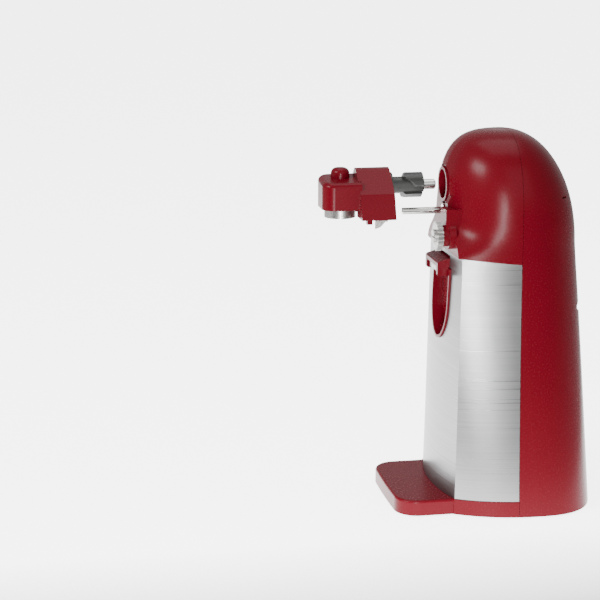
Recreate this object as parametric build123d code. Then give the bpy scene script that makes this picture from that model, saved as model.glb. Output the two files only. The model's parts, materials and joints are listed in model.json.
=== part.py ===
"""Electric can opener with a pull-out cutting head, bottle opener and knife sharpener.

Millimetres, +Z up. The origin is on the floor, in the seam plane between the front and rear shells (y = 0)
and in the middle of the width (x = 0). The front faces -Y. The cutting head is drawn pulled out of its
socket along -Y; it slides back in by HEAD_TRAVEL.
"""
from build123d import *
import math
import os

# Housing
HEIGHT = 235.0
BASE_BAND = 10.6
SHELL_WALL = 3.6
SHELL_FLOOR = 1.0
DOME_START = 174.0
FACET_Y = -38.0
FACET_BOTTOM = 161.0
SEAM_GAP = 0.1

# Steel panel
PANEL_INSET = 0.7
PANEL_THICKNESS = 0.8
PANEL_BACKING_INSET = 1.6
CREASE_X = 39.0
PANEL_SEAM_TOP = 158.0
PANEL_FRONT_TOP = 162.0

# Foot plate
FOOT_HALF_WIDTH = 40.0
FOOT_FRONT = 72.4
FOOT_BULGE = 1.1
FOOT_CORNER = 14.0

# Cutting head: its axis is the axis of the pivot socket
PIVOT_Z = 201.5
HEAD_FACE_Y = -72.6
HEAD_TRAVEL = 28.1
BLOCK_DEPTH = 21.0
LOBE_DEPTH = 22.0
HEAD_WALL = 2.0
BUTTON_X = -3.0
BUTTON_Y = HEAD_FACE_Y - 30.0

# Drive wheel and guide rod
WHEEL_X = 21.0
WHEEL_Z = 173.0
WHEEL_RADIUS = 9.0
ROD_X = 2.0
ROD_Z = 185.5
ROD_RADIUS = 2.1
ROD_TIP_Y = -65.0

# Bottle opener
RECESS_HALF_WIDTH = 17.5
RECESS_CURVE_Z = 130.0
RECESS_TIP_Z = 106.0
RECESS_TOP_Z = 150.0
RECESS_FLOOR_Y = -33.0

# Knife sharpener
GROOVE_Z = 126.0
GROOVE_FLOOR_Y = 41.4

# Motor and gears
MOTOR_Z = 126.0
RUNNING_CLEARANCE = 0.05
PRESSURE_ANGLE = math.radians(25.0)
FINE_MODULE = 0.8
MODULE = 1.0
PINION_TEETH = 12
FIRST_WHEEL_TEETH = 50
SECOND_WHEEL_TEETH = 38
OUTPUT_TEETH = 25
AXLE_RADIUS = 2.0


# ---------------------------------------------------------------- plain solids

def block(x0, x1, y0, y1, z0, z1):
    """Box between two corners."""
    centre = Pos((x0 + x1) / 2, (y0 + y1) / 2, (z0 + z1) / 2)
    return centre * Box(x1 - x0, y1 - y0, z1 - z0)


def rod_y(x, z, radius, y0, y1):
    """Cylinder along Y."""
    return Pos(x, (y0 + y1) / 2, z) * Rot(90, 0, 0) * Cylinder(radius, y1 - y0)


def rod_z(x, y, radius, z0, z1):
    """Cylinder along Z."""
    return Pos(x, y, (z0 + z1) / 2) * Cylinder(radius, z1 - z0)


def prism_y(outline, y_rear, y_front):
    """Extrude an XZ outline from y_rear forward to y_front."""
    return Pos(0, y_rear, 0) * extrude(Plane.XZ * outline, y_rear - y_front)


def prism_x(outline, x0, x1):
    """Extrude a YZ outline from x0 to x1."""
    return Pos(x0, 0, 0) * extrude(Plane.YZ * outline, x1 - x0)


def outline_of(*points):
    """Filled polygon."""
    return make_face(Polyline(*points, close=True))


def coil(radius, wire, pitch, height):
    """Round-wire helical spring along Z from z = 0."""
    path = Helix(pitch, height, radius)
    start = Plane(origin=path @ 0, z_dir=path % 0)
    return sweep(start * Circle(wire), path)


# ---------------------------------------------------------------- housing form

def half_width(z):
    straight = 54.4 - 0.094 * min(z, 160) + 0.0002 * min(z, 160) ** 2
    if z <= DOME_START:
        return straight - 0.03 * max(z - 160, 0)
    rise = (z - DOME_START) / (HEIGHT - DOME_START)
    return 44.05 * (1 - rise ** 2.63) ** (1 / 2.63)


def centre_y(z):
    return max(13 - 0.083 * z, 0) - 2.0 * max((z - 200) / 35, 0)


def front_reach(z):
    """Distance from the centre to the uncut front, which flares below the flat facet."""
    flare = 41.0 + 36.0 / (1 + math.exp((z - 168) / 4.0))
    if z <= DOME_START:
        return flare
    rise = (z - DOME_START) / (HEIGHT - DOME_START)
    return flare * (1 - rise ** 3.1) ** (1 / 3.1)


def rear_edge(z):
    if z <= 165:
        return 56.1 - 0.055 * z - 0.0001 * z * z
    return 44.3 * math.sqrt(max(1 - ((z - 165) / (HEIGHT - 165)) ** 2, 0.0))


def quarter(reach_x, reach_y, exponent, sign_x, sign_y, origin_y):
    """One quarter of a superellipse, from the side point to the front or rear point."""
    points = []
    for step in range(9):
        angle = math.radians(90 * step / 8)
        across = reach_x * math.cos(angle) ** (2 / exponent) if step < 8 else 0.0
        along = reach_y * math.sin(angle) ** (2 / exponent)
        points.append((sign_x * across, origin_y + sign_y * along))
    return Spline(*points, tangents=((0, sign_y), (-sign_x, 0)))


def section(z, inset, scale_to=1.0, height=None):
    """Closed horizontal outline of the housing, moved inward by inset."""
    middle = centre_y(z)
    side = (half_width(z) - inset) * scale_to
    front = (front_reach(z) - inset) * scale_to
    rear = (rear_edge(z) - middle - inset) * scale_to
    rear_exponent = 2.6 - 0.5 * z / HEIGHT
    edges = [
        quarter(side, rear, rear_exponent, 1, 1, middle),
        quarter(side, rear, rear_exponent, -1, 1, middle),
        quarter(side, front, 2.0, -1, -1, middle),
        quarter(side, front, 2.0, 1, -1, middle),
    ]
    return Pos(0, 0, z if height is None else height) * Wire(edges)


def loft_form(inset):
    """Dome-topped column before its front is cut; it starts below the floor so that its foot is straight."""
    column = list(range(-40, 121, 20)) + [138, 151]
    dome = [161, 166, 171, 177, 185, 195, 205, 213, 220, 226, 230.5, 233.2]
    stations = column + dome
    if inset > 1:
        stations = stations[:-2]
        top = section(230.5, inset, 0.72, 231.2 - 0.35 * inset)
    else:
        top = section(234.2, inset, 0.62, HEIGHT - 0.3 - inset)
    return Solid.make_loft([section(z, inset) for z in stations] + [top])


def front_limit(inset):
    """Space behind the bowed panel face below, and behind the flat facet above."""
    def bowed(z, crease_y, apex_y):
        reach = 60.0
        rise = (crease_y - apex_y) * (reach / CREASE_X) ** 2
        face = ThreePointArc((-reach, apex_y + rise + inset), (0, apex_y + inset), (reach, apex_y + rise + inset))
        back = Polyline((reach, apex_y + rise + inset), (reach, 70), (-reach, 70), (-reach, apex_y + rise + inset))
        return Pos(0, 0, z) * make_face(face + back)

    lower = loft([bowed(-1.0, -38.7, -45.5), bowed(FACET_BOTTOM, -36.3, -38.0)], ruled=True)
    upper = block(-60, 60, FACET_Y + inset, 70, FACET_BOTTOM, HEIGHT + 5)
    return lower + upper


def housing(inset):
    return Part() + (front_limit(inset) & loft_form(inset))


def foot_outline(inset):
    half = FOOT_HALF_WIDTH - inset
    front = -(FOOT_FRONT - inset)
    nose = ThreePointArc((-half, front), (0, front - FOOT_BULGE), (half, front))
    sides = Polyline((half, front), (half, -28), (-half, -28), (-half, front))
    face = make_face(nose + sides)
    corners = face.vertices().sort_by(Axis.Y)[:2]
    return fillet(corners, FOOT_CORNER - inset)


def base_outline(inset):
    """Outline of the whole base: housing and foot plate."""
    column = make_face(Pos(0, 0, -2) * section(2, inset))
    return column + foot_outline(inset)


def panel_zone(grow):
    """Space of the steel panel: front half, above the base band and under its sloping top edge."""
    slope = (PANEL_FRONT_TOP - PANEL_SEAM_TOP) / 40.0
    low = BASE_BAND - grow
    outline = outline_of((-SEAM_GAP, low), (-60, low), (-60, PANEL_SEAM_TOP + 60 * slope + grow),
                         (-SEAM_GAP, PANEL_SEAM_TOP + grow))
    return prism_x(outline, -60, 60)


# ---------------------------------------------------------------- openings and bosses

def recess_outline(grow):
    """Bottle opener mouth: straight at the top, a half ellipse below."""
    half = RECESS_HALF_WIDTH + grow
    drop = RECESS_CURVE_Z - RECESS_TIP_Z + grow
    bowl = Pos(0, RECESS_CURVE_Z) * Ellipse(half, drop)
    top = RECESS_TOP_Z + grow
    upper = Pos(0, (RECESS_CURVE_Z + top) / 2) * Rectangle(2 * half, top - RECESS_CURVE_Z)
    return bowl + upper


def opener_cutout():
    """Hole in the panel and front shell for the bottle opener and its hook."""
    hook = block(-15.3, 15.3, -60, -30.5, 144, 159.2)
    return prism_y(recess_outline(1.8), -30.5, -60) + hook


def groove_cutter():
    """V-shaped groove of the knife sharpener, running across the rear, with its blade slit."""
    funnel = outline_of((GROOVE_FLOOR_Y, GROOVE_Z - 1.3), (49.5, GROOVE_Z - 5.9),
                        (49.5, GROOVE_Z + 5.9), (GROOVE_FLOOR_Y, GROOVE_Z + 1.3))
    slit = block(-18, 18, 36, GROOVE_FLOOR_Y + 0.2, GROOVE_Z - 1.3, GROOVE_Z + 1.3)
    return prism_x(funnel, -60, 60) + slit


HOUSING_SCREWS = [(-20, 60), (20, 60), (0, 221)]
FEET = [(-28, -44), (28, -44), (-30, 30), (30, 30), (0, 0)]
BASE_SCREWS = [(-29, -58), (29, -58), (-36, 22), (36, 22)]
PLATE_POSTS = [(-33, 163), (-16, 180), (30, 150), (8, 117)]


def front_shell(outer, backing, inner):
    foot_block = extrude(foot_outline(0), BASE_BAND)
    top_rim = foot_block.edges().filter_by_position(Axis.Z, BASE_BAND, BASE_BAND).sort_by(Axis.Y)[:5]
    foot_block = fillet(top_rim, 1.6)
    shell = outer & block(-60, 60, -60, -SEAM_GAP, SHELL_FLOOR, HEIGHT + 5)
    shell = shell - (panel_zone(0) - backing)
    shell = shell + (foot_block & block(-60, 60, -90, -30, SHELL_FLOOR, BASE_BAND))
    shell = shell - inner
    shell = shell - extrude(foot_outline(2.6), BASE_BAND - 2.6)
    bosses = rod_y(0, PIVOT_Z, 13.5, -36, -24)
    bosses += rod_y(WHEEL_X, WHEEL_Z, 7.6, -37, -22)
    bosses += rod_y(ROD_X, ROD_Z, 4.2, -37, -27)
    for x, z in (PLATE_POSTS[0], PLATE_POSTS[2]):
        bosses += rod_y(x, z, 4.0, -40, -23.5)
    for x, z in HOUSING_SCREWS:
        bosses += rod_y(x, z, 4.2, -42, -SEAM_GAP) - rod_y(x, z, 1.5, -14.2, 0)
    shell = shell + (bosses & backing)
    for x, y in BASE_SCREWS[:2]:
        shell += rod_z(x, y, 3.6, 3.3, BASE_BAND - 1.5) - rod_z(x, y, 1.4, 0, 8)
    shell += rod_y(WHEEL_X, WHEEL_Z, 8.2, -41, -37) + rod_y(WHEEL_X, WHEEL_Z, 6.5, -44.4, -40)
    shell += block(13, 26, -43, -31, 176.3, 189.6)
    shell += block(13, 18, -40.2, -34, 189, 196.5) & backing_nose()
    shell -= rod_y(0, PIVOT_Z, 12.3, -40, -37.0)
    shell -= rod_y(0, PIVOT_Z, 10.83, -40, -20)
    shell -= rod_y(WHEEL_X, WHEEL_Z, 5.0, -50, -20)
    shell -= rod_y(ROD_X, ROD_Z, ROD_RADIUS, -50, -28)
    return shell - opener_cutout()


def backing_nose():
    """Limits the upper shoulder so that its top slopes back to the facet."""
    return prism_x(outline_of((-34, 188), (-40.2, 188), (-40.2, 192), (-38, 196.5), (-34, 196.5)), 10, 24)


def rear_shell(outer, inner):
    shell = outer & block(-60, 60, SEAM_GAP, 60, SHELL_FLOOR, HEIGHT + 5)
    shell = shell - inner
    bosses = block(19.5, 31, 33, 50, 116, 136) + block(-31, -19.5, 33, 50, 116, 136)
    for x, z in HOUSING_SCREWS:
        bosses += rod_y(x, z, 4.8, SEAM_GAP, 50)
    shell = shell + (bosses & (outer - block(-80, 80, -80, SEAM_GAP, 0, 300)))
    for x, z in HOUSING_SCREWS:
        shell -= rod_y(x, z, 1.7, 0, 14)
        shell -= rod_y(x, z, 3.5, 12, 60)
    for x, y in BASE_SCREWS[2:]:
        post = rod_z(x, y, 3.6, 3.3, 14) + block(min(x, 50 * x / 36), max(x, 50 * x / 36), y - 1, y + 1, 4, 14)
        shell += post & (outer & block(-60, 60, SEAM_GAP, 60, 3.3, 15))
        shell -= rod_z(x, y, 1.4, 0, 8)
    shell -= block(-22.1, 22.1, 30, 60, GROOVE_Z - 7.1, GROOVE_Z + 7.1)
    shell -= groove_cutter()
    shell -= rod_y(0, 20, 6.0, 45, 60)
    for side in (-1, 1):
        vent = Pos(side * 31, 30, 196) * Rot(0, 0, -side * 42) * Box(6, 16, 1.0)
        shell -= vent
    return shell


def sharpener_guide(outer):
    body = block(-22, 22, 39.0, 55, GROOVE_Z - 7.0, GROOVE_Z + 7.0)
    return (body & outer) - groove_cutter()


def steel_panel():
    skin = (housing(PANEL_INSET) & panel_zone(-0.1)) - housing(PANEL_INSET + PANEL_THICKNESS)
    return skin - opener_cutout()


def bottle_opener():
    """Recess cup with a raised rim, and the hook above it between two cheeks."""
    rim = prism_y(recess_outline(1.5), RECESS_FLOOR_Y + 1.6, -60)
    cup = rim & front_limit(-0.5)
    cup = cup - prism_y(recess_outline(0), RECESS_FLOOR_Y, -60)
    cup += prism_y(recess_outline(0), RECESS_FLOOR_Y, -36.5) & block(-20, 20, -60, -30, 100, 111)
    visor = outline_of((-31, 158.6), (-34, 158.4), (-44.2, 155.6), (-44.9, 154.6), (-44.9, 152.4), (-31, 152.4))
    cheek = outline_of((-31, 153), (-44.9, 153), (-44.9, 147.4), (-44.0, 146.6), (-31, 146.6))
    hook = prism_x(visor, -15, 15)
    hook += prism_x(cheek, 11.8, 15) + prism_x(cheek, -15, -11.8)
    return cup + hook - block(-11.8, 11.8, -44, -33, 150.9, 152.41)


def bottle_claw():
    """Steel plate under the hook, with a turned-down lip that catches the cap."""
    plate = block(-11.7, 11.7, -43.6, -33.2, 151.0, 152.4)
    lip = block(-8.5, 8.5, -43.6, -42.4, 148.4, 151.4)
    return plate + lip


def base_cover():
    plate = Pos(0, 0, 1.2) * extrude(base_outline(3.9), 2.0)
    pedestal = block(-11, 11, 22, 30, 3.0, 25)
    cover = plate + pedestal
    for x, y in BASE_SCREWS:
        cover -= rod_z(x, y, 1.7, 0, 5)
        cover -= rod_z(x, y, 3.1, 0, 2.2)
    return cover


def screw_set(places, maker):
    group = Part()
    for a, b in places:
        group += maker(a, b)
    return group


def base_screw(x, y):
    slot = block(x - 2.2, x + 2.2, y - 0.4, y + 0.4, 1.2, 1.6)
    return rod_z(x, y, 2.9, 1.2, 2.2) + rod_z(x, y, 1.4, 2.2, 8) - slot


def housing_screw(x, z):
    slot = block(x - 2.3, x + 2.3, 13.9, 14.6, z - 0.4, z + 0.4)
    return rod_y(x, z, 3.2, 12, 14.5) + rod_y(x, z, 1.5, -14, 12) - slot


def plate_screw(x, z):
    return rod_y(x, z, 2.8, -1.0, 0.6) + rod_y(x, z, 1.2, -18, -1.0)


def plate_post(x, z):
    return rod_y(x, z, 2.6, -22.0, -2.5) - rod_y(x, z, 1.2, -18, 0)


def rubber_foot(x, y):
    return Pos(x, y, 0.6) * Cylinder(6.5, 1.2)


# ---------------------------------------------------------------- gears

def involute(angle):
    return math.tan(angle) - angle


def gear_outline(teeth, module, first_tooth, thinning=0.10):
    """Spur gear outline in XZ with one tooth centred on the angle first_tooth (radians)."""
    pitch = module * teeth / 2
    base = pitch * math.cos(PRESSURE_ANGLE)
    tip = pitch + 0.9 * module
    root = pitch - 1.15 * module
    half_tooth = math.pi / (2 * teeth) - thinning * module / pitch
    start = max(base, root + 0.2 * module)
    radii = [start + (tip - start) * step / 4 for step in range(5)]
    flank = []
    for radius in radii:
        pressure = math.acos(min(base / radius, 1.0))
        flank.append((radius, half_tooth + involute(PRESSURE_ANGLE) - involute(pressure)))
    points = []
    for tooth in range(teeth):
        middle = first_tooth + 2 * math.pi * tooth / teeth
        rise = [(root, flank[0][1])] + flank
        for radius, angle in rise:
            points.append((radius * math.cos(middle - angle), radius * math.sin(middle - angle)))
        for radius, angle in reversed(rise):
            points.append((radius * math.cos(middle + angle), radius * math.sin(middle + angle)))
    return outline_of(*points)


def gear(place, teeth, module, first_tooth, y_rear, y_front):
    outline = Pos(place[0], place[1]) * gear_outline(teeth, module, first_tooth)
    return prism_y(outline, y_rear, y_front)


def direction(a, b):
    return math.atan2(b[1] - a[1], b[0] - a[0])


MOTOR = (0.0, MOTOR_Z)
OUTPUT = (WHEEL_X, WHEEL_Z)
FIRST_SPAN = FINE_MODULE * (PINION_TEETH + FIRST_WHEEL_TEETH) / 2
SECOND_SPAN = MODULE * (PINION_TEETH + SECOND_WHEEL_TEETH) / 2
OUTPUT_SPAN = MODULE * (PINION_TEETH + OUTPUT_TEETH) / 2
SECOND_AXLE_ANGLE = math.radians(210.2)
SECOND = (OUTPUT[0] + OUTPUT_SPAN * math.cos(SECOND_AXLE_ANGLE),
          OUTPUT[1] + OUTPUT_SPAN * math.sin(SECOND_AXLE_ANGLE))


def first_axle():
    """Axle place that meshes with both the motor pinion and the second wheel, on the left."""
    span = math.dist(MOTOR, SECOND)
    along = (FIRST_SPAN ** 2 - SECOND_SPAN ** 2 + span ** 2) / (2 * span)
    across = math.sqrt(FIRST_SPAN ** 2 - along ** 2)
    turn = direction(MOTOR, SECOND)
    return (MOTOR[0] + along * math.cos(turn) - across * math.sin(turn),
            MOTOR[1] + along * math.sin(turn) + across * math.cos(turn))


FIRST = first_axle()


def wheel_facing(own, other, teeth):
    """Angle of a tooth such that a gap faces the other axle."""
    return direction(own, other) + math.pi / teeth


def motor_pinion():
    pinion = gear(MOTOR, PINION_TEETH, FINE_MODULE, direction(MOTOR, FIRST), -3.6, -8.8)
    return pinion - rod_y(0, MOTOR_Z, 2.0, -12, 0)


def first_gear():
    wheel = gear(FIRST, FIRST_WHEEL_TEETH, FINE_MODULE, wheel_facing(FIRST, MOTOR, FIRST_WHEEL_TEETH), -4.5, -8.5)
    pinion = gear(FIRST, PINION_TEETH, MODULE, direction(FIRST, SECOND), -8.4, -13.4)
    return wheel + pinion - rod_y(*FIRST, AXLE_RADIUS + RUNNING_CLEARANCE, -30, 0)


def second_gear():
    wheel = gear(SECOND, SECOND_WHEEL_TEETH, MODULE, wheel_facing(SECOND, FIRST, SECOND_WHEEL_TEETH), -9.5, -13)
    pinion = gear(SECOND, PINION_TEETH, MODULE, direction(SECOND, OUTPUT), -12.9, -20.6)
    return wheel + pinion - rod_y(*SECOND, AXLE_RADIUS + RUNNING_CLEARANCE, -30, 0)


def output_gear():
    wheel = gear(OUTPUT, OUTPUT_TEETH, MODULE, wheel_facing(OUTPUT, SECOND, OUTPUT_TEETH), -15, -20)
    return wheel - rod_y(*OUTPUT, 3.0, -30, 0)


def gear_plate(y_rear, y_front, with_motor):
    outline = outline_of(*PLATE_POSTS)
    outline = offset(outline, 5.0)
    plate = prism_y(outline, y_rear, y_front)
    for centre in (FIRST, SECOND):
        plate -= rod_y(*centre, AXLE_RADIUS, -40, 10)
    if with_motor:
        plate += block(-26, 26, y_front, y_rear, 118, 134)
        plate -= rod_y(0, MOTOR_Z, 6.0, -20, 20)
    for x, z in PLATE_POSTS:
        plate -= rod_y(x, z, 1.2, -10, 10) if with_motor else Part()
    return plate


def gear_axles():
    return rod_y(*FIRST, AXLE_RADIUS, -23.5, -1.0) + rod_y(*SECOND, AXLE_RADIUS, -23.5, -1.0)


# ---------------------------------------------------------------- drive

def drive_shaft():
    return rod_y(*OUTPUT, 3.0, -48.4, -14.8)


def drive_bush():
    return rod_y(*OUTPUT, 5.0, -44.4, -21.9) - rod_y(*OUTPUT, 3.0 + RUNNING_CLEARANCE, -50, -20)


def drive_wheel():
    """Toothed wheel that grips and turns the can rim."""
    teeth = 20
    wheel = rod_y(*OUTPUT, WHEEL_RADIUS, -48.4, -45.0)
    for tooth in range(teeth):
        notch = Box(1.9, 8, 1.9)
        turn = Pos(WHEEL_X, -46.7, WHEEL_Z) * Rot(0, 360 * tooth / teeth, 0)
        wheel -= turn * Pos(WHEEL_RADIUS, 0, 0) * Rot(0, 45, 0) * notch
    return wheel - rod_y(*OUTPUT, 3.0, -60, -40)


def drive_wheel_screw():
    head = rod_y(*OUTPUT, 4.0, -50.0, -48.4)
    slot = block(WHEEL_X - 4, WHEEL_X + 4, -50.2, -49.3, WHEEL_Z - 0.6, WHEEL_Z + 0.6)
    return head - slot


def guide_rod():
    rod = rod_y(ROD_X, ROD_Z, ROD_RADIUS, ROD_TIP_Y, -28)
    tip = rod.edges().sort_by(Axis.Y)[0]
    return chamfer(tip, 0.4)


def rod_washer():
    return rod_y(ROD_X, ROD_Z, 3.7, -39.2, -38.0) - rod_y(ROD_X, ROD_Z, ROD_RADIUS, -45, -30)


# ---------------------------------------------------------------- pivot socket

def pivot_socket():
    """Turning sleeve that receives the bayonet shaft, with the arm that works the switch."""
    sleeve = rod_y(0, PIVOT_Z, 10.78, -39.0, -12) - rod_y(0, PIVOT_Z, 9.0, -50, -14.5)
    arm = block(-24, -9.5, -20, -16, PIVOT_Z - 2.5, PIVOT_Z + 2.5)
    arm -= rod_y(0, PIVOT_Z, 9.0, -50, -14.5)
    return sleeve + arm - rod_y(0, PIVOT_Z, 3.5, -20, 0)


def socket_retainer():
    return rod_y(0, PIVOT_Z, 12.8, -23.6, -22.6) - rod_y(0, PIVOT_Z, 10.78, -30, -20)


def lever_spring():
    spring = coil(12.0, 0.5, 1.3, 2.6)
    return Pos(0, -15.2, PIVOT_Z) * Rot(-90, 0, 0) * spring


def switch_body():
    body = block(-26, -16, -21, -10, 208, 214.5)
    return body - rod_z(-21, -18, 1.6, 205, 214)


def switch_plunger():
    return rod_z(-21, -18, 1.5, 205.6, 211.5)


# ---------------------------------------------------------------- motor

def stator():
    plates = block(-25, 25, 4, 22, 80, 148)
    plates -= rod_y(0, MOTOR_Z, 16.0, 0, 30)
    plates -= block(-13.5, 13.5, 0, 30, 91, 107)
    for x in (-20.5, 20.5):
        plates -= rod_y(x, 142.5, 2.0, 0, 30)
    return plates


def motor_coil():
    winding = block(-12.5, 12.5, -0.8, 26.8, 75.5, 106.2)
    winding = fillet(winding.edges().filter_by(Axis.X), 3.0)
    return winding - block(-20, 20, 4.0, 22.0, 80, 91)


def motor_bracket(y0, y1, foot0, foot1):
    bar = block(-24, 24, y0, y1, 120.5, 131.5)
    for x in (-20.5, 20.5):
        bar += rod_y(x, MOTOR_Z, 3.2, foot0, foot1)
    return bar - rod_y(0, MOTOR_Z, 4.8, y0 - 5, y1 + 5)


def motor_bearings():
    group = Part()
    for y0 in (-0.6, 23.6):
        group += rod_y(0, MOTOR_Z, 4.8, y0, y0 + 2.8) - rod_y(0, MOTOR_Z, 2.0 + RUNNING_CLEARANCE, y0 - 1, y0 + 4)
    return group


def rotor():
    core = rod_y(0, MOTOR_Z, 15.6, 4.5, 21.5)
    for slot in range(16):
        angle = 2 * math.pi * slot / 16
        core -= rod_y(14.4 * math.cos(angle), MOTOR_Z + 14.4 * math.sin(angle), 0.7, 4, 22)
    return core - rod_y(0, MOTOR_Z, 2.0, 0, 30)


def rotor_shaft():
    return rod_y(0, MOTOR_Z, 2.0, -9.0, 38.4)


def cooling_fan():
    hub = rod_y(0, MOTOR_Z, 5.0, 27.6, 32.4)
    for blade in range(7):
        turn = Pos(0, 30, MOTOR_Z) * Rot(0, 360 * blade / 7, 0)
        hub += turn * Pos(10.5, 0, 0) * Rot(35, 0, 0) * Box(13, 4.6, 1.2)
    return hub - rod_y(0, MOTOR_Z, 2.0, 20, 40)


def grinding_wheel():
    wheel = rod_y(0, MOTOR_Z, 13.0, 33.6, 38.2)
    return wheel - rod_y(0, MOTOR_Z, 2.0, 30, 45)


# ---------------------------------------------------------------- power inlet

def cord_gland():
    """Round grommet of the power inlet, low on the rear."""
    gland = rod_y(0, 20, 6.0, 49, 55.6) + rod_y(0, 20, 7.6, 55.55, 57.0)
    return gland - rod_y(0, 20, 3.0, 40, 60)


def terminal_block():
    body = block(-9, 9, 22.5, 29.5, 25, 34)
    for x in (-4.5, 4.5):
        body -= rod_z(x, 26, 1.6, 30, 40)
    return body


# ---------------------------------------------------------------- cutting head

def head_section(shrink):
    """Cross-section of the head's block, narrow at the top left, sloping to its broad right side."""
    points = [(-4, 11), (0.5, 10.3), (16.7, -2.9), (18.5, -7.4), (22, -17.7), (-12, -17.7), (-12, 3)]
    face = Pos(0, PIVOT_Z) * outline_of(*points)
    face = fillet(face.vertices().filter_by_position(Axis.Y, PIVOT_Z - 8, PIVOT_Z + 12), 1.6)
    return offset(face, -shrink) if shrink else face


def lobe_outline():
    half_left = 13.0
    half_right = 14.0
    rear = HEAD_FACE_Y - BLOCK_DEPTH + 1.5
    front = HEAD_FACE_Y - BLOCK_DEPTH - LOBE_DEPTH
    face = make_face(Polyline((-half_left, rear), (-half_left, front), (half_right, front), (half_right, rear), close=True))
    return fillet(face.vertices().sort_by(Axis.Y)[:2], 7.0)


def lobe():
    low = PIVOT_Z - 12.6
    body = Pos(0, 0, low) * extrude(lobe_outline(), 24)
    body = body & prism_y(Pos(0, PIVOT_Z) * outline_of((-30, -13), (30, -13), (30, 1.6), (-30, 9)), -60, -130)
    top = body.faces().sort_by(Axis.Z)[-1]
    rim = [edge for edge in top.edges() if edge.center().Y < HEAD_FACE_Y - BLOCK_DEPTH + 1.0]
    return fillet(rim, 3.2)


def head_shell():
    rear = HEAD_FACE_Y
    front = rear - BLOCK_DEPTH
    body = prism_y(head_section(0), rear, front)
    pocket = prism_y(head_section(HEAD_WALL), rear - HEAD_WALL, front + HEAD_WALL)
    pocket += prism_y(pocket_mouth(), rear - HEAD_WALL, front + HEAD_WALL)
    solid_head = prism_y(head_section(0), rear, front)
    boss = rod_y(0, PIVOT_Z, 8.0, front, rear) & solid_head
    rib = block(11, 17.4, rear - 14, rear - 5, PIVOT_Z - 16.5, PIVOT_Z) & solid_head
    stub = block(13, 17.4, rear - 17, rear - 13.9, PIVOT_Z - 21, PIVOT_Z - 8) & (solid_head + block(13, 17.4, -99, -70, 178, 186))
    body = body - pocket - block(-9.8, 19.5, rear - 4, rear + 1, PIVOT_Z - 20, PIVOT_Z - 11.5)
    body = body - block(-10, 6, front - 1, front + 4, PIVOT_Z - 20, PIVOT_Z - 12.6)
    body = body + boss + rib + stub + lobe()
    body -= rod_y(0, PIVOT_Z, 5.2, rear - 12, rear + 1)
    body -= rod_z(BUTTON_X, BUTTON_Y, 8.4, 180, PIVOT_Z + 1)
    body -= rod_z(BUTTON_X, BUTTON_Y, 5.85, 190, PIVOT_Z + 20)
    return body - blade_screw()


def pocket_mouth():
    """Open bottom of the block, between its side walls."""
    return Pos(0, PIVOT_Z) * outline_of((-10, -14), (18.3, -14), (20.4, -20), (-10, -20))


def bayonet_shaft():
    """Shaft that plugs into the socket, with two slanted locking tabs."""
    rear = HEAD_FACE_Y
    shaft = rod_y(0, PIVOT_Z, 5.2, rear - 12, rear + 21.3)
    shaft += rod_y(0, PIVOT_Z, 8.0, rear, rear + 1.2)
    tab = make_face(Polyline((7.9, 2.0), (15.5, -3.9), (20.3, -3.9), (20.3, 6.4), (9.5, 6.4), (7.9, 5.0), close=True))
    wedge = Pos(0, rear, PIVOT_Z) * extrude(Plane(origin=(0, 0, 0), x_dir=(0, 1, 0), z_dir=(0, 0, 1)) * tab, 9)
    limit = rod_y(0, PIVOT_Z, 7.8, rear, rear + 22)
    for turn in (55, 235):
        shaft += (Pos(0, 0, PIVOT_Z) * Rot(0, turn, 0) * Pos(0, 0, -PIVOT_Z) * wedge) & limit
    end = shaft.edges().filter_by(GeomType.CIRCLE).sort_by(Axis.Y)[-1]
    shaft = chamfer(end, 0.8)
    return shaft - rod_y(0, PIVOT_Z, 3.15, rear + 13, rear + 22)


def shaft_pin():
    pin = rod_y(0, PIVOT_Z, 3.15, HEAD_FACE_Y + 13, HEAD_FACE_Y + 28.9)
    return chamfer(pin.edges().sort_by(Axis.Y)[-1], 0.7)


def cutter_blade():
    """Steel blade beside the rib, with a point that pierces the lid and a narrow lip."""
    rear = HEAD_FACE_Y
    z = PIVOT_Z
    side = outline_of((rear - 12.4, z - 14), (rear - 12.4, z - 23.7), (rear - 9.0, z - 22.4), (rear - 6.1, z - 19.2),
                      (rear - 4.6, z - 19.2), (rear - 4.6, z - 18.0), (rear - 6.1, z - 17.6), (rear - 6.1, z - 14))
    return prism_x(side, 17.4, 18.4) - blade_screw()


def blade_screw():
    y = HEAD_FACE_Y - 9.2
    shank = Pos(17.4, y, PIVOT_Z - 15.6) * Rot(0, 90, 0) * Cylinder(0.8, 2.0)
    return shank + Pos(18.7, y, PIVOT_Z - 15.6) * Rot(0, 90, 0) * Cylinder(1.3, 0.6)


def release_button():
    """Domed button with a hidden flange that stops it under the head's roof."""
    stem = rod_z(BUTTON_X, BUTTON_Y, 5.75, PIVOT_Z - 1, PIVOT_Z + 11.4)
    stem = fillet(stem.edges().sort_by(Axis.Z)[-1], 3.6)
    return stem + rod_z(BUTTON_X, BUTTON_Y, 7.6, PIVOT_Z - 1, PIVOT_Z + 0.8)


def magnet_post():
    return rod_z(BUTTON_X, BUTTON_Y, 2.5, PIVOT_Z - 13.4, PIVOT_Z - 1)


def spring_seat():
    return rod_z(BUTTON_X, BUTTON_Y, 8.4, PIVOT_Z - 12.6, PIVOT_Z - 11.2) - rod_z(BUTTON_X, BUTTON_Y, 2.58, 180, 195)


def button_spring():
    return Pos(BUTTON_X, BUTTON_Y, PIVOT_Z - 10.5) * coil(4.6, 0.45, 2.0, 8.6)


def magnet_cup():
    cup = rod_z(BUTTON_X, BUTTON_Y, 9.6, PIVOT_Z - 19, PIVOT_Z - 13.4)
    cup = fillet(cup.edges().sort_by(Axis.Z)[-1], 0.9)
    return cup - rod_z(BUTTON_X, BUTTON_Y, 8.4, PIVOT_Z - 20, PIVOT_Z - 14.5)


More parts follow.
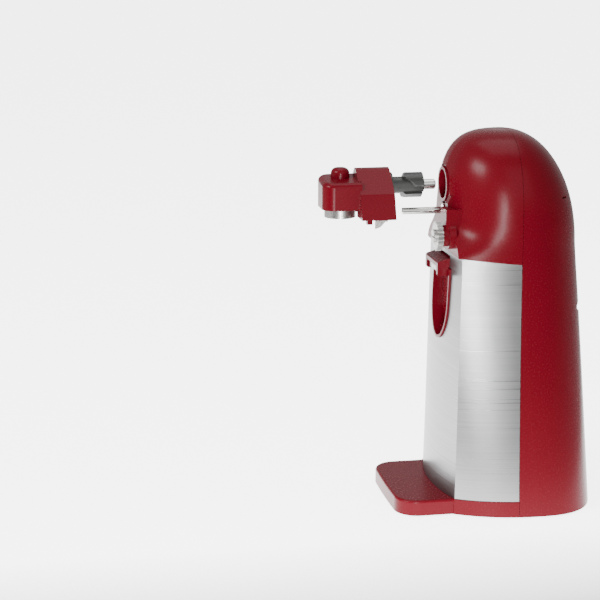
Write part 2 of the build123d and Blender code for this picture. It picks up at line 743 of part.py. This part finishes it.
def magnet():
    return rod_z(BUTTON_X, BUTTON_Y, 8.4, PIVOT_Z - 18.6, PIVOT_Z - 14.5)


# ---------------------------------------------------------------- all the pieces

def build():
    outer = housing(0)
    backing = housing(PANEL_BACKING_INSET)
    inner = housing(SHELL_WALL)
    return {
        "front_shell": front_shell(outer, backing, inner),
        "rear_shell": rear_shell(outer, inner),
        "steel_panel": steel_panel(),
        "bottle_opener": bottle_opener(),
        "bottle_claw": bottle_claw(),
        "base_cover": base_cover(),
        "rubber_feet": screw_set(FEET, rubber_foot),
        "base_screws": screw_set(BASE_SCREWS, base_screw),
        "housing_screws": screw_set(HOUSING_SCREWS, housing_screw),
        "sharpener_guide": sharpener_guide(outer),
        "cord_gland": cord_gland(),
        "terminal_block": terminal_block(),
        "guide_rod": guide_rod(),
        "rod_washer": rod_washer(),
        "drive_bush": drive_bush(),
        "front_gear_plate": gear_plate(-22.0, -23.5, False),
        "rear_gear_plate": gear_plate(-1.0, -2.5, True),
        "plate_posts": screw_set(PLATE_POSTS, plate_post),
        "plate_screws": screw_set(PLATE_POSTS, plate_screw),
        "gear_axles": gear_axles(),
        "stator": stator(),
        "motor_coil": motor_coil(),
        "front_motor_bracket": motor_bracket(0.0, 2.0, -1.0, 4.0),
        "rear_motor_bracket": motor_bracket(24.0, 26.0, 22.0, 24.0),
        "motor_bearings": motor_bearings(),
        "switch_body": switch_body(),
        "lever_spring": lever_spring(),
        "switch_plunger": switch_plunger(),
        "rotor": rotor(),
        "rotor_shaft": rotor_shaft(),
        "motor_pinion": motor_pinion(),
        "cooling_fan": cooling_fan(),
        "grinding_wheel": grinding_wheel(),
        "first_gear": first_gear(),
        "second_gear": second_gear(),
        "output_gear": output_gear(),
        "drive_shaft": drive_shaft(),
        "drive_wheel": drive_wheel(),
        "drive_wheel_screw": drive_wheel_screw(),
        "pivot_socket": pivot_socket(),
        "socket_retainer": socket_retainer(),
        "head_shell": head_shell(),
        "bayonet_shaft": bayonet_shaft(),
        "shaft_pin": shaft_pin(),
        "cutter_blade": cutter_blade(),
        "blade_screw": blade_screw(),
        "spring_seat": spring_seat(),
        "button_spring": button_spring(),
        "release_button": release_button(),
        "magnet_post": magnet_post(),
        "magnet_cup": magnet_cup(),
        "magnet": magnet(),
    }


def main():
    os.makedirs("parts", exist_ok=True)
    for name, solid in build().items():
        export_step(solid, os.path.join("parts", name + ".step"))


main()
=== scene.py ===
"""Looks of the electric can opener: materials, studio and camera. Metres, +Z up."""
import json
import math

import bpy
from mathutils import Matrix, Vector

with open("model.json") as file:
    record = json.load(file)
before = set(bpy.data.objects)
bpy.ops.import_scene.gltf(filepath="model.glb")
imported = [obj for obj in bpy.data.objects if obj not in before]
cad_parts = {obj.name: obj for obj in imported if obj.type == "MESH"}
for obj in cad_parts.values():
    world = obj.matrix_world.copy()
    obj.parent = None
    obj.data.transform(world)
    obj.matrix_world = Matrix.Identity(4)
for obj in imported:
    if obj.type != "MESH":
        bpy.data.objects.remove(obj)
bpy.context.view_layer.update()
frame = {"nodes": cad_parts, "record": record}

# Camera: where it stands, which way it looks and its lens
CAMERA_AZIMUTH = math.radians(80.0)
CAMERA_PITCH = math.radians(13.09)
CAMERA_DISTANCE = 1.0989
CAMERA_LENS = 102.0
SENSOR_WIDTH = 36.0
AIM_RIGHT = -0.12596
AIM_UP = 0.1231

# Floor: white and glowing where the camera sees it, dark in front of the object
FLOOR_REACH = 12.0
FLOOR_WHITE = (0.93, 0.93, 0.93)
FLOOR_DARK = (0.09, 0.09, 0.09)
FLOOR_GLOW = 4.4
DARK_FROM, DARK_TO = 0.17, 0.42
GLOW_NEAR, GLOW_NEAR_END = 0.07, 0.19
GLOW_FRONT_END, GLOW_FRONT = -0.46, -0.34
GLOW_REAR, GLOW_REAR_END = 0.12, 0.22
REAR_SLANT = 0.352

# World light, from the far side to the near side
WORLD_FAR = 0.75
WORLD_NEAR = 0.40
WORLD_FADE_FROM, WORLD_FADE_TO = -0.75, 0.30

# Lamps: name, place, aim, width and height, power in watts
LAMPS = [
    ("key", (0.55, -1.4, 1.15), (0, 0, 0.12), (0.7, 0.45), 33.0),
    ("fill", (1.6, 0.3, 1.0), (0, 0, 0.12), (1.2, 1.2), 6.0),
    ("top", (-0.1, 0.0, 1.7), (0, 0, 0.0), (1.2, 1.2), 14.0),
    ("panel_strip", (0.44, -0.14, 0.12), (0.045, -0.015, 0.14), (0.06, 0.30), 2.9),
]


# ---------------------------------------------------------------- node helpers

def new_material(name):
    material = bpy.data.materials.new(name)
    material.use_nodes = True
    nodes = material.node_tree.nodes
    links = material.node_tree.links
    shader = nodes["Principled BSDF"]
    return material, nodes, links, shader


def object_coordinates(nodes, links, scale):
    """Object coordinates stretched by scale along each axis."""
    coordinates = nodes.new("ShaderNodeTexCoord")
    mapping = nodes.new("ShaderNodeMapping")
    mapping.inputs["Scale"].default_value = scale
    links.new(coordinates.outputs["Object"], mapping.inputs["Vector"])
    return mapping.outputs["Vector"]


def noise(nodes, links, vector, scale, detail=3.0, roughness=0.5):
    texture = nodes.new("ShaderNodeTexNoise")
    texture.inputs["Scale"].default_value = scale
    texture.inputs["Detail"].default_value = detail
    texture.inputs["Roughness"].default_value = roughness
    links.new(vector, texture.inputs["Vector"])
    return texture.outputs["Fac"]


def ranged(nodes, links, value, low, high, start=0.3, end=0.7):
    """Maps a value between start and end onto low to high."""
    node = nodes.new("ShaderNodeMapRange")
    node.inputs["From Min"].default_value = start
    node.inputs["From Max"].default_value = end
    node.inputs["To Min"].default_value = low
    node.inputs["To Max"].default_value = high
    links.new(value, node.inputs["Value"])
    return node.outputs["Result"]


def math_node(nodes, links, operation, first, second):
    """Combines a socket with another socket or a number."""
    node = nodes.new("ShaderNodeMath")
    node.operation = operation
    links.new(first, node.inputs[0])
    if isinstance(second, float):
        node.inputs[1].default_value = second
    else:
        links.new(second, node.inputs[1])
    return node.outputs["Value"]


def mixed_colour(nodes, links, value, first, second):
    node = nodes.new("ShaderNodeMix")
    node.data_type = "RGBA"
    node.inputs["A"].default_value = (*first, 1.0)
    node.inputs["B"].default_value = (*second, 1.0)
    links.new(value, node.inputs["Factor"])
    return node.outputs["Result"]


def bump(nodes, links, shader, height, distance, strength=1.0):
    node = nodes.new("ShaderNodeBump")
    node.inputs["Strength"].default_value = strength
    node.inputs["Distance"].default_value = distance
    links.new(height, node.inputs["Height"])
    links.new(node.outputs["Normal"], shader.inputs["Normal"])


# ---------------------------------------------------------------- materials

def gloss_red():
    """Polished burgundy ABS: deep colour, even gloss and a faint moulding ripple."""
    material, nodes, links, shader = new_material("gloss_red_plastic")
    vector = object_coordinates(nodes, links, (1, 1, 1))
    cloud = noise(nodes, links, vector, 18.0, 2.0)
    fine = noise(nodes, links, vector, 900.0, 4.0, 0.6)
    ripple = noise(nodes, links, vector, 55.0, 1.0)
    colour = mixed_colour(nodes, links, cloud, (0.084, 0.0018, 0.0058), (0.097, 0.0021, 0.0066))
    links.new(colour, shader.inputs["Base Color"])
    links.new(ranged(nodes, links, fine, 0.26, 0.28), shader.inputs["Roughness"])
    shader.inputs["IOR"].default_value = 1.46
    shader.inputs["Specular IOR Level"].default_value = 0.11
    bump(nodes, links, shader, ripple, 0.00005, 0.35)
    return material


def brushed_panel():
    """Stainless sheet with long fine horizontal brush lines and uneven sheen."""
    material, nodes, links, shader = new_material("brushed_steel_panel")
    lines = object_coordinates(nodes, links, (10, 10, 2600))
    long_lines = object_coordinates(nodes, links, (3, 3, 900))
    fine = noise(nodes, links, lines, 1.0, 6.0, 0.75)
    coarse = noise(nodes, links, long_lines, 1.0, 3.0, 0.6)
    colour = mixed_colour(nodes, links, fine, (0.155, 0.155, 0.158), (0.33, 0.33, 0.333))
    links.new(colour, shader.inputs["Base Color"])
    shader.inputs["Metallic"].default_value = 1.0
    links.new(ranged(nodes, links, coarse, 0.26, 0.36), shader.inputs["Roughness"])
    shader.inputs["Anisotropic"].default_value = 0.6
    bump(nodes, links, shader, fine, 0.00004, 0.55)
    return material


def machined_steel(name, tint, rough_low, rough_high):
    """Turned or ground steel with tight tool marks and slight tarnish."""
    material, nodes, links, shader = new_material(name)
    marks = object_coordinates(nodes, links, (400, 2400, 400))
    plain = object_coordinates(nodes, links, (1, 1, 1))
    fine = noise(nodes, links, marks, 1.0, 3.0, 0.6)
    cloud = noise(nodes, links, plain, 120.0, 3.0)
    dark = tuple(0.78 * channel for channel in tint)
    links.new(mixed_colour(nodes, links, cloud, dark, tint), shader.inputs["Base Color"])
    shader.inputs["Metallic"].default_value = 1.0
    links.new(ranged(nodes, links, fine, rough_low, rough_high), shader.inputs["Roughness"])
    bump(nodes, links, shader, fine, 0.00003, 0.4)
    return material


def moulded_plastic(name, colour, rough_low, rough_high, grain=1400.0, depth=0.00004):
    """Fine-grained moulded plastic or rubber."""
    material, nodes, links, shader = new_material(name)
    vector = object_coordinates(nodes, links, (1, 1, 1))
    fine = noise(nodes, links, vector, grain, 3.0, 0.6)
    cloud = noise(nodes, links, vector, 40.0, 2.0)
    lighter = tuple(min(1.0, channel * 1.22 + 0.002) for channel in colour)
    links.new(mixed_colour(nodes, links, cloud, colour, lighter), shader.inputs["Base Color"])
    links.new(ranged(nodes, links, fine, rough_low, rough_high), shader.inputs["Roughness"])
    bump(nodes, links, shader, fine, depth, 0.6)
    return material


def laminated_steel():
    """Stack of thin varnished sheets, seen as fine lines across the stack."""
    material, nodes, links, shader = new_material("laminated_steel")
    vector = object_coordinates(nodes, links, (5, 2000, 5))
    sheets = noise(nodes, links, vector, 1.0, 1.0)
    colour = mixed_colour(nodes, links, sheets, (0.10, 0.10, 0.11), (0.30, 0.30, 0.32))
    links.new(colour, shader.inputs["Base Color"])
    shader.inputs["Metallic"].default_value = 0.8
    links.new(ranged(nodes, links, sheets, 0.35, 0.55), shader.inputs["Roughness"])
    bump(nodes, links, shader, sheets, 0.0001, 0.6)
    return material


def copper_winding():
    """Enamelled copper wire wound round the motor's lower leg."""
    material, nodes, links, shader = new_material("copper_winding")
    wave = nodes.new("ShaderNodeTexWave")
    wave.bands_direction = "X"
    wave.inputs["Scale"].default_value = 420.0
    wave.inputs["Distortion"].default_value = 0.6
    links.new(object_coordinates(nodes, links, (1, 1, 1)), wave.inputs["Vector"])
    colour = mixed_colour(nodes, links, wave.outputs["Fac"], (0.16, 0.045, 0.015), (0.62, 0.24, 0.09))
    links.new(colour, shader.inputs["Base Color"])
    shader.inputs["Metallic"].default_value = 0.7
    shader.inputs["Roughness"].default_value = 0.32
    bump(nodes, links, shader, wave.outputs["Fac"], 0.0003, 0.8)
    return material


def abrasive_stone():
    """Bonded grit of the sharpening wheel."""
    material, nodes, links, shader = new_material("abrasive_stone")
    grit = nodes.new("ShaderNodeTexVoronoi")
    grit.inputs["Scale"].default_value = 2600.0
    links.new(object_coordinates(nodes, links, (1, 1, 1)), grit.inputs["Vector"])
    distance = grit.outputs["Distance"]
    colour = mixed_colour(nodes, links, distance, (0.25, 0.24, 0.22), (0.55, 0.54, 0.50))
    links.new(colour, shader.inputs["Base Color"])
    shader.inputs["Roughness"].default_value = 0.85
    bump(nodes, links, shader, distance, 0.0002, 0.9)
    return material


def make_materials():
    """One material for each of the record's slots."""
    return {
        "red_plastic": gloss_red(),
        "brushed_panel": brushed_panel(),
        "steel": machined_steel("turned_steel", (0.74, 0.73, 0.71), 0.12, 0.24),
        "blade_steel": machined_steel("ground_steel", (0.45, 0.435, 0.42), 0.24, 0.42),
        "grey_plastic": moulded_plastic("grey_shaft_plastic", (0.012, 0.013, 0.0115), 0.34, 0.48),
        "black_plastic": moulded_plastic("black_base_plastic", (0.018, 0.018, 0.019), 0.42, 0.60),
        "rubber": moulded_plastic("black_rubber", (0.016, 0.016, 0.016), 0.70, 0.85, 1800.0, 0.00008),
        "white_nylon": moulded_plastic("white_nylon", (0.70, 0.68, 0.62), 0.34, 0.48),
        "laminations": laminated_steel(),
        "copper_wire": copper_winding(),
        "bronze": machined_steel("sintered_bronze", (0.52, 0.33, 0.16), 0.40, 0.55),
        "abrasive": abrasive_stone(),
        "magnet_ceramic": moulded_plastic("ceramic_magnet", (0.045, 0.045, 0.048), 0.50, 0.70),
    }


def dress_nodes(materials):
    """Gives every CAD node the material of its slot."""
    slots = {part["node"]: part["material_slot"] for part in frame["record"]["subparts"]}
    for name, node in frame["nodes"].items():
        node.data.materials.clear()
        node.data.materials.append(materials[slots[name]])


# ---------------------------------------------------------------- studio

def build_floor():
    """Large floor whose colour and glow depend on the place."""
    mesh = bpy.data.meshes.new("floor")
    corners = [(-FLOOR_REACH, -FLOOR_REACH, 0), (FLOOR_REACH, -FLOOR_REACH, 0),
               (FLOOR_REACH, FLOOR_REACH, 0), (-FLOOR_REACH, FLOOR_REACH, 0)]
    mesh.from_pydata(corners, [], [(0, 1, 2, 3)])
    floor = bpy.data.objects.new("floor", mesh)
    bpy.context.scene.collection.objects.link(floor)
    material, nodes, links, shader = new_material("pale_floor")
    split = nodes.new("ShaderNodeSeparateXYZ")
    links.new(object_coordinates(nodes, links, (1, 1, 1)), split.inputs["Vector"])
    across = split.outputs["X"]
    along = split.outputs["Y"]
    shade = ranged(nodes, links, across, 0.0, 1.0, DARK_FROM, DARK_TO)
    links.new(mixed_colour(nodes, links, shade, FLOOR_WHITE, FLOOR_DARK), shader.inputs["Base Color"])
    shader.inputs["Roughness"].default_value = 0.55
    shader.inputs["Specular IOR Level"].default_value = 0.15
    shader.inputs["Emission Color"].default_value = (1.0, 1.0, 1.0, 1.0)
    near = ranged(nodes, links, across, FLOOR_GLOW, 0.0, GLOW_NEAR, GLOW_NEAR_END)
    front = ranged(nodes, links, along, 0.0, 1.0, GLOW_FRONT_END, GLOW_FRONT)
    slant = math_node(nodes, links, "MULTIPLY", across, REAR_SLANT)
    behind = math_node(nodes, links, "ADD", slant, along)
    rear = ranged(nodes, links, behind, 1.0, 0.0, GLOW_REAR, GLOW_REAR_END)
    glow = math_node(nodes, links, "MULTIPLY", near, front)
    glow = math_node(nodes, links, "MULTIPLY", glow, rear)
    links.new(glow, shader.inputs["Emission Strength"])
    mesh.materials.append(material)


def soft_light(name, place, aim, size, power):
    """Rectangular lamp at place, turned towards aim."""
    data = bpy.data.lights.new(name, "AREA")
    data.shape = "RECTANGLE"
    data.size = size[0]
    data.size_y = size[1]
    data.energy = power
    light = bpy.data.objects.new(name, data)
    light.location = place
    light.rotation_euler = (Vector(aim) - Vector(place)).to_track_quat("-Z", "Y").to_euler()
    bpy.context.scene.collection.objects.link(light)


def build_world():
    """White surroundings, dimmer on the near side."""
    world = bpy.data.worlds.new("studio")
    bpy.context.scene.world = world
    world.use_nodes = True
    nodes = world.node_tree.nodes
    links = world.node_tree.links
    background = nodes["Background"]
    coordinates = nodes.new("ShaderNodeTexCoord")
    split = nodes.new("ShaderNodeSeparateXYZ")
    links.new(coordinates.outputs["Generated"], split.inputs["Vector"])
    side = ranged(nodes, links, split.outputs["X"], WORLD_FAR, WORLD_NEAR, WORLD_FADE_FROM, WORLD_FADE_TO)
    links.new(side, background.inputs["Strength"])
    background.inputs["Color"].default_value = (1.0, 1.0, 1.0, 1.0)


def build_camera():
    """Long-lens camera that looks at the near side from slightly above."""
    back = Vector((math.sin(CAMERA_AZIMUTH) * math.cos(CAMERA_PITCH),
                   -math.cos(CAMERA_AZIMUTH) * math.cos(CAMERA_PITCH),
                   math.sin(CAMERA_PITCH)))
    right = Vector((math.cos(CAMERA_AZIMUTH), math.sin(CAMERA_AZIMUTH), 0.0))
    up = back.cross(right)
    data = bpy.data.cameras.new("camera")
    data.lens = CAMERA_LENS
    data.sensor_width = SENSOR_WIDTH
    camera = bpy.data.objects.new("camera", data)
    place = right * AIM_RIGHT + up * AIM_UP + back * CAMERA_DISTANCE
    turn = Matrix((right, up, back)).transposed()
    camera.matrix_world = Matrix.Translation(place) @ turn.to_4x4()
    bpy.context.scene.collection.objects.link(camera)
    bpy.context.scene.camera = camera


build_camera()
for lamp in LAMPS:
    soft_light(*lamp)
build_world()
build_floor()
materials = make_materials()
dress_nodes(materials)
